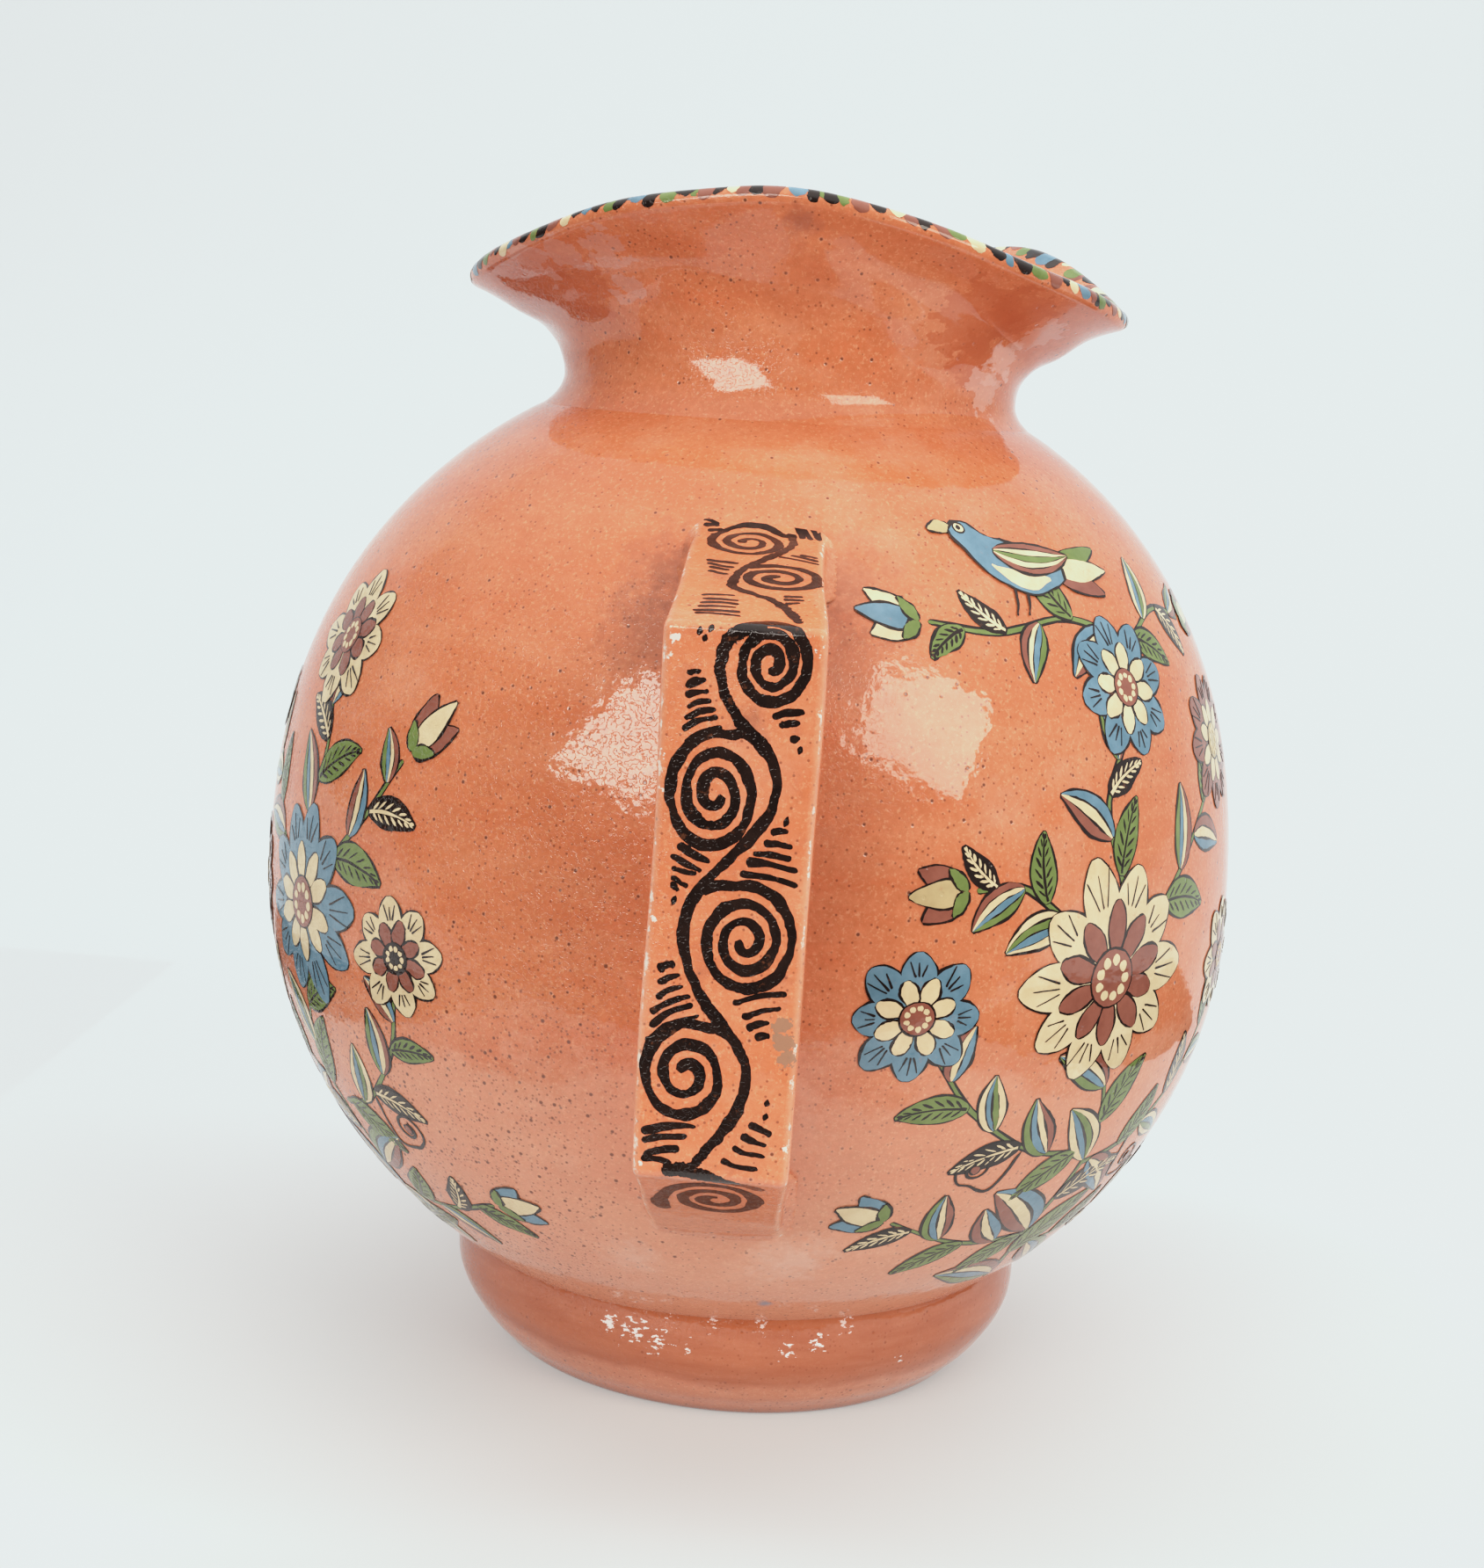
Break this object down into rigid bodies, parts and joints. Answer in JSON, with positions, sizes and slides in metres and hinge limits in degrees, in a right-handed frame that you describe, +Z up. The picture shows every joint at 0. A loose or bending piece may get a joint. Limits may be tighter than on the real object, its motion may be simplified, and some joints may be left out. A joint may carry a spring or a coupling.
{
  "type": "pottery pitcher",
  "caption": "Globular glazed earthenware pitcher with a flared, pinched pouring mouth, a squared slab handle and a bulging ring foot.",
  "frame": {"origin": "middle of the overall footprint, on the plane the foot stands on", "axes": "+Z up along the turning axis of the globe, -Y towards the handle, +Y towards the pouring lip, +X to the right as seen from the handle"},
  "size_m": [0.22, 0.25, 0.261],
  "materials": {
    "glazed_clay": "glossy clear glaze over orange-red clay"
  },
  "bodies": {
    "root": {"foot_ring": "glazed_clay", "lower_bowl": "glazed_clay", "upper_bowl": "glazed_clay", "neck_collar": "glazed_clay", "handle_upper_arm": "glazed_clay", "handle_grip": "glazed_clay", "handle_lower_arm": "glazed_clay"}
  },
  "joints": []
}
